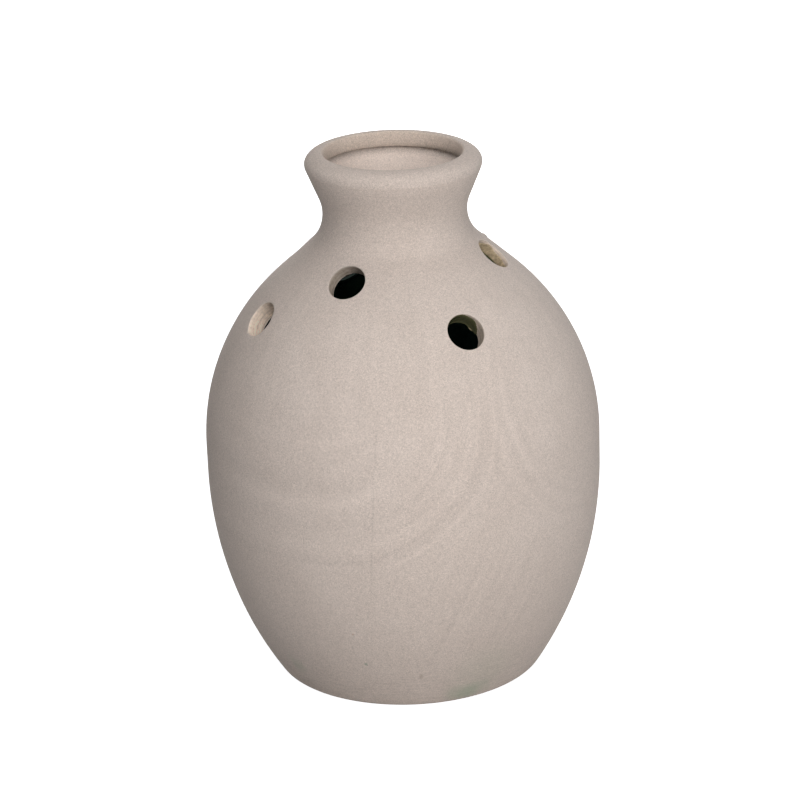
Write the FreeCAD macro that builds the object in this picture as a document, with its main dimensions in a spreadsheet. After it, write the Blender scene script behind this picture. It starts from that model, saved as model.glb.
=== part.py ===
import FreeCAD, Part
import Sketcher
import os
from math import acos, atan2, cos, hypot, pi, radians, sin, sqrt

# A slip-cast stoneware vase, 250 mm tall, standing on z = 0 with its axis on Z.
# Its wall is one chain of tangent arcs and lines turned about that axis. Two staggered
# rows of stem holes pierce the shoulder, and a glaze lines the inside below the collar.

doc = FreeCAD.newDocument("Vase")

# Driving dimensions, in millimetres and degrees.
driving_sizes = {
    # outside of the casting, from the foot up
    "foot_diameter": 119.0,
    "foot_edge_radius": 5.2,
    "belly_diameter": 185.0,
    "belly_height": 113.5,
    "belly_band": 13.5,
    "shoulder_radius": 104.8,
    "shoulder_turn": 48.4,
    "shoulder_run": 23.4,
    "neck_radius": 19.4,
    "flare_angle": 22.5,
    "flare_run": 14.6,
    "lip_radius": 5.2,
    # lip and inside of the casting
    "lip_flat": 1.5,
    "lip_edge_radius": 2.2,
    "lip_depth": 7.0,
    "lip_overhang": 1.2,
    "neck_wall": 6.0,
    "wall": 7.0,
    "floor_thickness": 8.0,
    "floor_fillet": 9.0,
    # luted joints between the sections
    "foot_joint_height": 24.0,
    "collar_drop": 10.0,
    # glaze lining
    "glaze_thickness": 0.8,
    # stem holes
    "hole_diameter": 16.8,
    "low_row_drop": 8.2,
    "low_offset_1": 0.55,
    "low_offset_2": -0.55,
    "low_offset_3": 0.1,
    "low_offset_4": -0.1,
    "high_row_run": 14.8,
    "high_offset_1": -1.3,
    "high_offset_2": 1.0,
    "high_offset_3": -0.3,
    "high_offset_4": -0.7,
    "low_azimuth_1": -157.2,
    "low_azimuth_2": -63.6,
    "low_azimuth_3": 26.0,
    "low_azimuth_4": 114.5,
    "high_azimuth_1": -119.0,
    "high_azimuth_2": -12.1,
    "high_azimuth_3": 71.0,
    "high_azimuth_4": 158.0,
    # cutters reach this far past the faces they cut
    "cutter_overrun": 4.0,
}

sheet = doc.addObject("Spreadsheet::Sheet", "Sizes")
for row, (alias, number) in enumerate(driving_sizes.items(), start=1):
    sheet.set(f"A{row}", alias)
    sheet.set(f"B{row}", str(number))
    sheet.setAlias(f"B{row}", alias)
doc.recompute()


def size(alias):
    return float(sheet.get(alias))


def cell(alias):
    return f"Sizes.{alias}"


# Where the chain of arcs puts its centres and tangent points, as (radius, height).
foot_radius = size("foot_diameter") / 2
foot_edge = size("foot_edge_radius")
belly_radius = size("belly_diameter") / 2
belly_height = size("belly_height")
belly_low = belly_height - size("belly_band")
shoulder = size("shoulder_radius")
turn = radians(size("shoulder_turn"))
neck = size("neck_radius")
flare = radians(size("flare_angle"))
lip = size("lip_radius")
lip_edge = size("lip_edge_radius")
wall = size("wall")
inner_neck = neck + size("neck_wall")
floor_top = size("floor_thickness")
floor_fillet = size("floor_fillet")
glaze = size("glaze_thickness")


def on_circle(centre, radius, angle):
    return (centre[0] + radius * cos(angle), centre[1] + radius * sin(angle))


def along(point, length, angle):
    return (point[0] + length * cos(angle), point[1] + length * sin(angle))


def direction(start, end):
    return atan2(end[1] - start[1], end[0] - start[0])


# The arc below the belly band touches the band and the rounded foot edge.
foot_centre = (foot_radius, foot_edge)
foot_inset = belly_radius - foot_radius
rise = belly_low - foot_edge
lower = (foot_inset ** 2 + rise ** 2 - foot_edge ** 2) / (2 * (foot_inset - foot_edge))
lower_centre = (belly_radius - lower, belly_low)
foot_meet = direction(lower_centre, foot_centre)

# Shoulder arc, straight run, hollow neck arc, flare and lip follow one another upwards.
shoulder_centre = (belly_radius - shoulder, belly_height)
run_start = on_circle(shoulder_centre, shoulder, turn)
run_end = along(run_start, size("shoulder_run"), pi / 2 + turn)
neck_centre = on_circle(run_end, neck, turn)
flare_start = on_circle(neck_centre, neck, pi - flare)
flare_end = along(flare_start, size("flare_run"), pi / 2 - flare)
lip_centre = on_circle(flare_end, lip, pi - flare)
top = lip_centre[1] + lip
mouth_edge = lip_centre[0] - size("lip_flat")
mouth_radius = mouth_edge - lip_edge
lip_under = top - size("lip_depth")
collar_joint = neck_centre[1] - size("collar_drop")


# The inner run touches the inner shoulder arc and the inner neck arc on opposite sides.
def inner_turn(shoulder_arc, neck_arc):
    apart = hypot(neck_centre[0] - shoulder_centre[0], neck_centre[1] - shoulder_centre[1])
    return direction(shoulder_centre, neck_centre) - acos((shoulder_arc + neck_arc) / apart)


# The floor fillet touches the floor and the arc below the belly from inside.
def floor_corner(lower_arc, fillet, floor):
    drop = floor + fillet - lower_centre[1]
    centre = (lower_centre[0] + sqrt((lower_arc - fillet) ** 2 - drop ** 2), floor + fillet)
    return centre, direction(lower_centre, centre)


# A sketch of lines and arcs that remembers its pieces by name, with points as start or end.
class Outline:
    ends = {"start": 1, "end": 2, "centre": 3}

    def __init__(self, body, name):
        plane = next(p for p in body.Origin.OriginFeatures if p.Role == "XZ_Plane")
        self.sketch = body.newObject("Sketcher::SketchObject", name)
        self.sketch.AttachmentSupport = [(plane, "")]
        self.sketch.MapMode = "FlatFace"
        self.ids = {}

    def line(self, name, start, end):
        segment = Part.LineSegment(FreeCAD.Vector(*start, 0), FreeCAD.Vector(*end, 0))
        self.ids[name] = self.sketch.addGeometry(segment, False)

    def arc(self, name, centre, radius, first, last):
        circle = Part.Circle(FreeCAD.Vector(*centre, 0), FreeCAD.Vector(0, 0, 1), radius)
        self.ids[name] = self.sketch.addGeometry(Part.ArcOfCircle(circle, first, last), False)

    def point(self, text):
        name, end = text.split(".")
        return self.ids[name], self.ends[end]

    def join(self, kind, *pairs):
        for first, second in pairs:
            self.sketch.addConstraint(Sketcher.Constraint(kind, *self.point(first), *self.point(second)))

    def level(self, kind, *names):
        for name in names:
            self.sketch.addConstraint(Sketcher.Constraint(kind, self.ids[name]))

    def origin(self, text):
        self.sketch.addConstraint(Sketcher.Constraint("Coincident", *self.point(text), -1, 1))

    def measure(self, label, expression, kind, *where):
        index = self.sketch.addConstraint(Sketcher.Constraint(kind, *where))
        self.sketch.renameConstraint(index, label)
        self.sketch.setExpression(f"Constraints.{label}", expression)

    def radius(self, name, expression, value):
        self.measure(f"{name}_radius", expression, "Radius", self.ids[name], value)

    def length(self, name, expression, value):
        self.measure(f"{name}_length", expression, "Distance", self.ids[name], value)

    def slope(self, name, expression, value):
        self.measure(f"{name}_slope", f"({expression}) * 1 deg", "Angle", self.ids[name], value)

    def out_to(self, text, expression, value):
        label = text.replace(".", "_") + "_out"
        self.measure(label, expression, "DistanceX", -1, 1, *self.point(text), value)

    def up_to(self, text, expression, value):
        label = text.replace(".", "_") + "_up"
        self.measure(label, expression, "DistanceY", -1, 1, *self.point(text), value)

    def turned(self, body, name):
        revolution = body.newObject("PartDesign::Revolution", name)
        revolution.Profile = self.sketch
        revolution.ReferenceAxis = (self.sketch, ["V_Axis"])
        revolution.Angle = 360.0
        body.Tip = revolution


# The inside of the wall from the inner neck arc down to the floor, drawn in by some inset.
def draw_inside(outline, tag, inset, neck_first):
    shoulder_arc = shoulder - wall - inset
    neck_arc = inner_neck + inset
    lower_arc = lower - wall - inset
    fillet = floor_fillet - inset
    angle = inner_turn(shoulder_arc, neck_arc)
    corner, meet = floor_corner(lower_arc, fillet, floor_top + inset)
    side = belly_radius - wall - inset
    outline.arc(f"{tag}_neck", neck_centre, neck_arc, neck_first, pi + angle)
    outline.line(f"{tag}_run", on_circle(neck_centre, neck_arc, pi + angle),
                 on_circle(shoulder_centre, shoulder_arc, angle))
    outline.arc(f"{tag}_shoulder", shoulder_centre, shoulder_arc, 0, angle)
    outline.line(f"{tag}_band", (side, belly_height), (side, belly_low))
    outline.arc(f"{tag}_lower", lower_centre, lower_arc, meet, 0)
    outline.arc(f"{tag}_fillet", corner, fillet, -pi / 2, meet)
    outline.line(f"{tag}_floor", (corner[0], floor_top + inset), (0, floor_top + inset))
    outline.join(
        "Tangent",
        (f"{tag}_neck.end", f"{tag}_run.start"),
        (f"{tag}_run.end", f"{tag}_shoulder.end"),
        (f"{tag}_shoulder.start", f"{tag}_band.start"),
        (f"{tag}_band.end", f"{tag}_lower.end"),
        (f"{tag}_lower.start", f"{tag}_fillet.end"),
        (f"{tag}_fillet.start", f"{tag}_floor.start"),
    )
    outline.level("Vertical", f"{tag}_band")
    outline.level("Horizontal", f"{tag}_floor")


# Clay casting: foot, belly, shoulder, neck and lip in one turned outline.
casting = doc.addObject("PartDesign::Body", "Casting")
clay = Outline(casting, "CastingOutline")
clay.line("base", (0, 0), (foot_radius, 0))
clay.arc("foot", foot_centre, foot_edge, -pi / 2, foot_meet)
clay.arc("lower", lower_centre, lower, foot_meet, 0)
clay.line("band", (belly_radius, belly_low), (belly_radius, belly_height))
clay.arc("shoulder", shoulder_centre, shoulder, 0, turn)
clay.line("run", run_start, run_end)
clay.arc("neck", neck_centre, neck, pi - flare, pi + turn)
clay.line("flare", flare_start, flare_end)
clay.arc("lip", lip_centre, lip, -flare, pi / 2)
clay.line("rim", (lip_centre[0], top), (mouth_edge, top))
clay.arc("edge", (mouth_edge, top - lip_edge), lip_edge, pi / 2, pi)
clay.line("mouth", (mouth_radius, top - lip_edge), (mouth_radius, lip_under))
under_end = (mouth_radius + size("lip_overhang"), lip_under)
clay.line("under", (mouth_radius, lip_under), under_end)
reach = hypot(under_end[0] - neck_centre[0], under_end[1] - neck_centre[1])
inner_flare = direction(neck_centre, under_end) + acos(inner_neck / reach)
clay.line("throat", under_end, on_circle(neck_centre, inner_neck, inner_flare))
draw_inside(clay, "inner", 0, inner_flare)
clay.line("axis", (0, floor_top), (0, 0))
clay.join(
    "Tangent",
    ("base.end", "foot.start"),
    ("foot.end", "lower.start"),
    ("lower.end", "band.start"),
    ("band.end", "shoulder.start"),
    ("shoulder.end", "run.start"),
    ("run.end", "neck.end"),
    ("neck.start", "flare.start"),
    ("flare.end", "lip.start"),
    ("lip.end", "rim.start"),
    ("rim.end", "edge.start"),
    ("edge.end", "mouth.start"),
    ("throat.end", "inner_neck.start"),
)
clay.join(
    "Coincident",
    ("mouth.end", "under.start"),
    ("under.end", "throat.start"),
    ("inner_floor.end", "axis.start"),
    ("axis.end", "base.start"),
    ("inner_neck.centre", "neck.centre"),
    ("inner_shoulder.centre", "shoulder.centre"),
    ("inner_lower.centre", "lower.centre"),
)
clay.origin("base.start")
clay.level("Horizontal", "base", "rim", "under")
clay.level("Vertical", "band", "mouth", "axis")
clay.out_to("base.end", f"{cell('foot_diameter')} / 2", foot_radius)
clay.radius("foot", cell("foot_edge_radius"), foot_edge)
clay.out_to("band.end", f"{cell('belly_diameter')} / 2", belly_radius)
clay.up_to("band.end", cell("belly_height"), belly_height)
clay.length("band", cell("belly_band"), size("belly_band"))
clay.radius("shoulder", cell("shoulder_radius"), shoulder)
clay.slope("run", f"90 + {cell('shoulder_turn')}", pi / 2 + turn)
clay.length("run", cell("shoulder_run"), size("shoulder_run"))
clay.radius("neck", cell("neck_radius"), neck)
clay.slope("flare", f"90 - {cell('flare_angle')}", pi / 2 - flare)
clay.length("flare", cell("flare_run"), size("flare_run"))
clay.radius("lip", cell("lip_radius"), lip)
clay.length("rim", cell("lip_flat"), size("lip_flat"))
clay.radius("edge", cell("lip_edge_radius"), lip_edge)
clay.length("mouth", f"{cell('lip_depth')} - {cell('lip_edge_radius')}", size("lip_depth") - lip_edge)
clay.length("under", cell("lip_overhang"), size("lip_overhang"))
clay.radius("inner_neck", f"{cell('neck_radius')} + {cell('neck_wall')}", inner_neck)
clay.out_to("inner_band.start", f"{cell('belly_diameter')} / 2 - {cell('wall')}", belly_radius - wall)
clay.length("axis", cell("floor_thickness"), floor_top)
clay.radius("inner_fillet", cell("floor_fillet"), floor_fillet)
clay.turned(casting, "CastingTurned")

# Glaze lining: a thin skin on the inside, from the floor up to the collar joint.
lining = doc.addObject("PartDesign::Body", "Lining")
skin = Outline(lining, "LiningOutline")
skin_neck = inner_neck + glaze
collar_rise = collar_joint - neck_centre[1]
clay_first = pi - atan2(collar_rise, sqrt(inner_neck ** 2 - collar_rise ** 2))
skin_first = pi - atan2(collar_rise, sqrt(skin_neck ** 2 - collar_rise ** 2))
draw_inside(skin, "clay", 0, clay_first)
draw_inside(skin, "face", glaze, skin_first)
rim_start = on_circle(neck_centre, inner_neck, clay_first)
skin.line("rim", rim_start, on_circle(neck_centre, skin_neck, skin_first))
skin.line("axis", (0, floor_top), (0, floor_top + glaze))
skin.join(
    "Coincident",
    ("rim.start", "clay_neck.start"),
    ("rim.end", "face_neck.start"),
    ("axis.start", "clay_floor.end"),
    ("axis.end", "face_floor.end"),
    ("face_neck.centre", "clay_neck.centre"),
    ("face_shoulder.centre", "clay_shoulder.centre"),
    ("face_lower.centre", "clay_lower.centre"),
    ("face_fillet.centre", "clay_fillet.centre"),
)
throat_up = (
    f"{cell('belly_height')} + ({cell('shoulder_radius')} + {cell('neck_radius')})"
    f" * sin({cell('shoulder_turn')}) + {cell('shoulder_run')} * cos({cell('shoulder_turn')})"
)
throat_out = (
    f"{cell('belly_diameter')} / 2 - {cell('shoulder_radius')}"
    f" + ({cell('shoulder_radius')} + {cell('neck_radius')}) * cos({cell('shoulder_turn')})"
    f" - {cell('shoulder_run')} * sin({cell('shoulder_turn')})"
)
collar_up = f"{throat_up} - {cell('collar_drop')}"
clay_side = f"{cell('belly_diameter')} / 2 - {cell('wall')}"
rise_text = f"({cell('belly_height')} - {cell('belly_band')} - {cell('foot_edge_radius')})"
inset_text = f"({cell('belly_diameter')} / 2 - {cell('foot_diameter')} / 2)"
lower_text = (
    f"({inset_text}^2 + {rise_text}^2 - {cell('foot_edge_radius')}^2)"
    f" / (2 * ({inset_text} - {cell('foot_edge_radius')}))"
)
skin.level("Horizontal", "rim")
skin.level("Vertical", "axis")
skin.out_to("axis.start", "0", 0)
skin.up_to("axis.start", cell("floor_thickness"), floor_top)
skin.out_to("clay_neck.centre", throat_out, neck_centre[0])
skin.up_to("clay_neck.centre", throat_up, neck_centre[1])
skin.radius("clay_neck", f"{cell('neck_radius')} + {cell('neck_wall')}", inner_neck)
skin_radius = f"{cell('neck_radius')} + {cell('neck_wall')} + {cell('glaze_thickness')}"
skin.radius("face_neck", skin_radius, skin_neck)
skin.up_to("rim.start", collar_up, collar_joint)
skin.out_to("clay_band.start", clay_side, belly_radius - wall)
skin.out_to("face_band.start", f"{clay_side} - {cell('glaze_thickness')}", belly_radius - wall - glaze)
skin.up_to("clay_band.start", cell("belly_height"), belly_height)
skin.length("clay_band", cell("belly_band"), size("belly_band"))
skin.radius("clay_shoulder", f"{cell('shoulder_radius')} - {cell('wall')}", shoulder - wall)
skin.radius("clay_lower", f"{lower_text} - {cell('wall')}", lower - wall)
skin.radius("clay_fillet", cell("floor_fillet"), floor_fillet)
skin.turned(lining, "LiningTurned")
doc.recompute()


# One cutter per stem hole, square to the wall: the low row sits on the shoulder arc and the
# high row on the straight run above it. Each hole strays a little from its row.
def stem_cutter(name, tilt, run, azimuth):
    start = (
        f"({cell('shoulder_radius')} - {cell('wall')} - {cell('glaze_thickness')}"
        f" - {cell('cutter_overrun')})"
    )
    out = (
        f"({cell('belly_diameter')} / 2 - {cell('shoulder_radius')}"
        f" + {start} * cos({tilt}) - {run} * sin({tilt}))"
    )
    cutter = doc.addObject("Part::Cylinder", name)
    cutter.setExpression("Radius", f"{cell('hole_diameter')} / 2")
    cutter.setExpression(
        "Height", f"{cell('wall')} + {cell('glaze_thickness')} + 2 * {cell('cutter_overrun')}")
    cutter.setExpression("Placement.Base.x", f"{out} * cos({azimuth})")
    cutter.setExpression("Placement.Base.y", f"{out} * sin({azimuth})")
    cutter.setExpression(
        "Placement.Base.z", f"{cell('belly_height')} + {start} * sin({tilt}) + {run} * cos({tilt})")
    cutter.setExpression("Placement.Rotation.Axis.x", f"-sin({azimuth})")
    cutter.setExpression("Placement.Rotation.Axis.y", f"cos({azimuth})")
    cutter.setExpression("Placement.Rotation.Axis.z", "0")
    cutter.setExpression("Placement.Rotation.Angle", f"(90 - ({tilt})) * 1 deg")
    return cutter


cutters = []
for number in range(1, 5):
    low_drop = f"({cell('low_row_drop')} + {cell(f'low_offset_{number}')})"
    low_tilt = f"({cell('shoulder_turn')} - {low_drop})"
    low_azimuth = cell(f"low_azimuth_{number}")
    high_run = f"({cell('high_row_run')} + {cell(f'high_offset_{number}')})"
    high_azimuth = cell(f"high_azimuth_{number}")
    cutters.append(stem_cutter(f"LowCutter{number}", low_tilt, "0", low_azimuth))
    cutters.append(stem_cutter(f"HighCutter{number}", cell("shoulder_turn"), high_run, high_azimuth))
all_cutters = doc.addObject("Part::MultiFuse", "StemCutters")
all_cutters.Shapes = cutters


def pierced(name, solid):
    cut = doc.addObject("Part::Cut", name)
    cut.Base = solid
    cut.Tool = all_cutters
    return cut


pierced_casting = pierced("PiercedCasting", casting)
nodes = {"interior_glaze": pierced("InteriorGlaze", lining)}


# Sections of the casting, each between two level joints, bottom to top.
def section(label, low, high):
    slab = doc.addObject("Part::Cylinder", label + "_slab")
    slab.setExpression("Radius", cell("belly_diameter"))
    slab.setExpression("Height", f"({high}) - ({low})")
    slab.setExpression("Placement.Base.z", low)
    piece = doc.addObject("Part::Common", label + "_section")
    piece.Base = pierced_casting
    piece.Tool = slab
    nodes[label] = piece


below_foot = f"0 - {cell('cutter_overrun')}"
above_lip = (
    f"{throat_up} + {cell('neck_radius')} * sin({cell('flare_angle')})"
    f" + {cell('flare_run')} * cos({cell('flare_angle')})"
    f" + {cell('lip_radius')} * (1 + sin({cell('flare_angle')})) + {cell('cutter_overrun')}"
)
section("foot_base", below_foot, cell("foot_joint_height"))
section("belly_wall", cell("foot_joint_height"), cell("belly_height"))
section("shoulder_wall", cell("belly_height"), collar_up)
section("neck_collar", collar_up, above_lip)
for label, node in nodes.items():
    node.Label = label
doc.recompute()

# Nothing is written unless every object is sound, the holes took clay away and the
# sections add up to the whole casting.
for item in doc.Objects:
    if "Invalid" in item.State or "Error" in item.State:
        raise RuntimeError(f"{item.Name} did not build: {item.State}")
for label, node in nodes.items():
    if node.Shape.isNull() or not node.Shape.isValid() or len(node.Shape.Solids) != 1:
        raise RuntimeError(f"{label} is not one sound solid")
for outline in (clay, skin):
    if outline.sketch.solve() != 0:
        raise RuntimeError(f"{outline.sketch.Name} is not solved")
bored = casting.Shape.Volume - pierced_casting.Shape.Volume
least = len(cutters) * pi * (size("hole_diameter") / 2) ** 2 * min(wall, size("neck_wall"))
if bored < 0.9 * least:
    raise RuntimeError("the stem holes do not pierce the wall")
sections = sum(node.Shape.Volume for label, node in nodes.items() if label != "interior_glaze")
if abs(sections - pierced_casting.Shape.Volume) > 1e-4 * sections:
    raise RuntimeError("the sections do not add up to the casting")

os.makedirs("parts", exist_ok=True)
for label, node in nodes.items():
    node.Shape.exportStep(f"parts/{label}.step")
    box = node.Shape.optimalBoundingBox()
    print(f"{label}: {node.Shape.Volume / 1000:.1f} cm3, z {box.ZMin:.1f} to {box.ZMax:.1f}")
print(f"overall height {top:.2f}, throat {2 * (neck_centre[0] - neck):.2f} at {neck_centre[1]:.2f},"
      f" mouth {2 * mouth_radius:.2f}, lip {2 * (lip_centre[0] + lip):.2f}")
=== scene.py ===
import math
from functools import partialmethod
from math import acos, asin, atan2, cos, dist, pi, radians, sin, sqrt
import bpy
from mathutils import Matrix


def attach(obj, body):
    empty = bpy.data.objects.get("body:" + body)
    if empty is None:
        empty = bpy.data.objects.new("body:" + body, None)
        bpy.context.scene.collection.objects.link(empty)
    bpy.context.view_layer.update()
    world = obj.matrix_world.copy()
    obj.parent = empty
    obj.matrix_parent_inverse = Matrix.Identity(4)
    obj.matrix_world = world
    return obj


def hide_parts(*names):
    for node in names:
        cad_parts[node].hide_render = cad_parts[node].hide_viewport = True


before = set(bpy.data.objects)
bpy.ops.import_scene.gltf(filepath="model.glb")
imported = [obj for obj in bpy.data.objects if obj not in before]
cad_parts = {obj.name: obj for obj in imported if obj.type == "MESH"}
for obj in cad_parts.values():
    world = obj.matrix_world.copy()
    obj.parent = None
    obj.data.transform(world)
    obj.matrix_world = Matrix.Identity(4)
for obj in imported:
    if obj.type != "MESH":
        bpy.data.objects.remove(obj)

from types import SimpleNamespace as Named

import bpy
import numpy as np
from mathutils import Matrix, Vector

scene = bpy.context.scene
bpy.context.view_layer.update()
mm = 0.001
print("frame loaded:", sorted(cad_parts))


# short forms for building a node tree

class TreeBuilder:
    def __init__(self, tree):
        self.tree = tree

    def feed(self, socket, value):
        if isinstance(value, bpy.types.NodeSocket):
            self.tree.links.new(value, socket)
        else:
            socket.default_value = value

    def fill(self, node, inputs):
        for key, value in inputs.items():
            self.feed(node.inputs[key], value)

    def add(self, kind, inputs=None, **settings):
        made = self.tree.nodes.new(kind)
        for name, value in settings.items():
            setattr(made, name, value)
        self.fill(made, inputs or {})
        return made

    def maths(self, operation, *values):
        return self.add("ShaderNodeMath", dict(enumerate(values)), operation=operation).outputs[0]

    # the first value, worked on by each of the others in turn
    def chain(self, operation, *values):
        result = values[0]
        for value in values[1:]:
            result = self.maths(operation, result, value)
        return result

    plus = partialmethod(chain, "ADD")
    minus = partialmethod(chain, "SUBTRACT")
    times = partialmethod(chain, "MULTIPLY")

    def vectors(self, operation, *values):
        made = self.add("ShaderNodeVectorMath", dict(enumerate(values)), operation=operation)
        return made.outputs["Value" if operation == "LENGTH" else "Vector"]

    def stretched(self, vector, factor):
        made = self.add("ShaderNodeVectorMath", {0: vector, "Scale": factor}, operation="SCALE")
        return made.outputs["Vector"]

    def combined(self, x, y, z):
        return self.add("ShaderNodeCombineXYZ", {0: x, 1: y, 2: z}).outputs[0]

    def separated(self, vector):
        return self.add("ShaderNodeSeparateXYZ", {0: vector}).outputs

    def noise(self, place, scale, detail=2.0, roughness=0.5):
        return self.add("ShaderNodeTexNoise", {"Vector": place, "Scale": scale, "Detail": detail,
                                               "Roughness": roughness}).outputs[0]

    # noise about zero, over space and along one value
    def ripple(self, place, scale, detail=2.0, roughness=0.5):
        return self.minus(self.noise(place, scale, detail, roughness), 0.5)

    def rippleAlong(self, value, scale, detail=2.0):
        made = self.add("ShaderNodeTexNoise", {"W": value, "Scale": scale, "Detail": detail},
                        noise_dimensions="1D")
        return self.minus(made.outputs[0], 0.5)

    def between(self, value, low, high, start=0.0, end=1.0):
        return self.add("ShaderNodeMapRange", {"Value": value, "From Min": low, "From Max": high,
                                               "To Min": start, "To Max": end},
                        interpolation_type="SMOOTHSTEP").outputs[0]

    # a mask that fades over millimetres, and one that fades in over one span and out over another
    def fade(self, value, span):
        return self.between(value, span[0] * mm, span[1] * mm)

    def band(self, value, fadeIn, fadeOut):
        return self.times(self.fade(value, fadeIn), self.fade(value, fadeOut))

    def mixed(self, factor, first, second, kind="MIX"):
        return self.add("ShaderNodeMix", {"Factor": factor, "A": first, "B": second},
                        data_type="RGBA", blend_type=kind).outputs["Result"]

    def attribute(self, label):
        return self.add("ShaderNodeAttribute", attribute_name=label).outputs["Fac"]


# short forms for meshes and numbers

helpers = []


def linked(name, data):
    made = bpy.data.objects.new(name, data)
    scene.collection.objects.link(made)
    return made


def helperObject(name, verts, edges, faces):
    mesh = bpy.data.meshes.new(name)
    mesh.from_pydata(verts, edges, faces)
    helpers.append(linked(name, mesh))
    return helpers[-1]


def mark(mesh, label, values):
    values = np.asarray(values, float)
    kind, key = ("FLOAT_VECTOR", "vector") if values.ndim == 2 else ("FLOAT", "value")
    mesh.attributes.new(label, kind, "POINT").data.foreach_set(key, values.ravel())


def pointsOf(mesh):
    places = np.zeros(len(mesh.vertices) * 3)
    mesh.vertices.foreach_get("co", places)
    return places.reshape(-1, 3)


def smoothFaces(mesh):
    sharpAngle = 42
    mesh.shade_smooth()
    mesh.set_sharp_from_angle(angle=radians(sharpAngle))


# faces between rings of points, listed from the bottom up or the top down; a ring of one point is a pole
def ringFaces(rings, downwards=False):
    faces = []
    for low, high in zip(rings, rings[1:]):
        sides = max(len(low), len(high))
        for i in range(sides):
            j = (i + 1) % sides
            corners = [low[i % len(low)], low[j % len(low)], high[j % len(high)], high[i % len(high)]]
            if downwards:
                corners[1:] = corners[:0:-1]
            faces.append(tuple(dict.fromkeys(corners)))
    return faces


def ramp(values, low, high):
    return np.clip((values - low) / (high - low), 0, 1)


def bell(values, middle, width):
    return np.exp(-((values - middle) / width) ** 2)


# turns Z out to the wall's direction at an azimuth and a tilt above level
def leaningOut(azimuth, tilt):
    return Matrix.Rotation(azimuth, 3, "Z") @ Matrix.Rotation(pi / 2 - tilt, 3, "Y")


# outline of the vase, in millimetres and degrees

vaseForm = dict(
    footRadius=59.5, footEdge=5.2, soleRings=(0, 12, 30, 46, 56, 57.75),
    bellyRadius=92.5, bellyHeight=113.5, bellyBand=13.5,
    shoulderRadius=104.8, shoulderTurn=48.4, shoulderRun=23.4,
    neckRadius=19.4, flareAngle=22.5, flareRun=14.6,
    lipRadius=5.2, lipReach=7.6, lipRise=5.4, lipEdge=1.3, lipDepth=7,
    lipSwell=0.35, lipTuck=0.5, lipGroove=3.8,
    # the cut under the lip: share of the groove, further out by, below the lip by
    grooveCut=((0, 0.35, 0), (1, -0.5, 0.1), (1, 0, 0.6), (0.75, 0, 2), (0.36, 0, 4.2)),
    neckWall=6, wall=7, floorThickness=8, floorFillet=9,
    glazeThickness=0.8, glazeSoak=0.3, glazeDrop=10,
)
outlineSteps = dict(
    footEdge=7, lower=34, band=4, shoulder=42, run=15, neck=16, flare=7,
    lipUnder=5, lipDome=16, lipEdge=6, lipFace=5, throat=6, glazeEdge=6,
    # inside: neck, run, shoulder, belly band, lower wall, fillet, floor
    clayInside=(14, 12, 14, 3, 12, 5, 4), glazeInside=(8, 20, 26, 3, 24, 5, 4),
)


def onCircle(centre, radius, angle):
    return (centre[0] + radius * cos(angle), centre[1] + radius * sin(angle))


def facing(start, end):
    return atan2(end[1] - start[1], end[0] - start[0])


def workOutForm():
    f = Named(**vaseForm)
    f.bellyLow = f.bellyHeight - f.bellyBand
    inset = f.bellyRadius - f.footRadius
    rise = f.bellyLow - f.footEdge
    f.lower = (inset ** 2 + rise ** 2 - f.footEdge ** 2) / (2 * (inset - f.footEdge))
    f.turn = radians(f.shoulderTurn)
    f.flare = radians(f.flareAngle)
    f.footCentre = (f.footRadius, f.footEdge)
    f.lowerCentre = (f.bellyRadius - f.lower, f.bellyLow)
    f.shoulderCentre = (f.bellyRadius - f.shoulderRadius, f.bellyHeight)
    f.runStart = onCircle(f.shoulderCentre, f.shoulderRadius, f.turn)
    f.runEnd = onCircle(f.runStart, f.shoulderRun, pi / 2 + f.turn)
    f.neckCentre = onCircle(f.runEnd, f.neckRadius, f.turn)
    f.flareStart = onCircle(f.neckCentre, f.neckRadius, pi - f.flare)
    f.flareEnd = onCircle(f.flareStart, f.flareRun, pi / 2 - f.flare)
    f.lipCentre = onCircle(f.flareEnd, f.lipRadius, pi - f.flare)
    f.lipUnder = f.lipCentre[1] + f.lipRadius - f.lipDepth
    f.innerNeck = f.neckRadius + f.neckWall
    return f


form = workOutForm()
steps = Named(**outlineSteps)


def arcPoints(centre, radius, first, last, count):
    return [onCircle(centre, radius, first + (last - first) * i / count) for i in range(count)]


def linePoints(start, end, count):
    return [(start[0] + (end[0] - start[0]) * i / count, start[1] + (end[1] - start[1]) * i / count)
            for i in range(count)]


# the inner wall from the neck down to the middle of the floor, set in by some millimetres
def innerWall(setIn, neckFirst, counts):
    f = form
    shoulderArc = f.shoulderRadius - f.wall - setIn
    neckArc = f.innerNeck + setIn
    lowerArc = f.lower - f.wall - setIn
    fillet = f.floorFillet - setIn
    floor = f.floorThickness + setIn
    side = f.bellyRadius - f.wall - setIn
    apart = dist(f.shoulderCentre, f.neckCentre)
    angle = facing(f.shoulderCentre, f.neckCentre) - acos((shoulderArc + neckArc) / apart)
    drop = floor + fillet - f.lowerCentre[1]
    corner = (f.lowerCentre[0] + sqrt((lowerArc - fillet) ** 2 - drop ** 2), floor + fillet)
    meet = facing(f.lowerCentre, corner)
    neck, run, shoulder, band, lower, bend, flat = counts
    points = arcPoints(f.neckCentre, neckArc, neckFirst, pi + angle, neck)
    points += linePoints(onCircle(f.neckCentre, neckArc, pi + angle),
                         onCircle(f.shoulderCentre, shoulderArc, angle), run)
    points += arcPoints(f.shoulderCentre, shoulderArc, angle, 0, shoulder)
    points += linePoints((side, f.bellyHeight), (side, f.bellyLow), band)
    points += arcPoints(f.lowerCentre, lowerArc, 0, meet, lower)
    points += arcPoints(corner, fillet, meet, -pi / 2, bend)
    points += linePoints((corner[0], floor), (0, floor), flat)
    points.append((0, floor))
    return points


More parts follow.
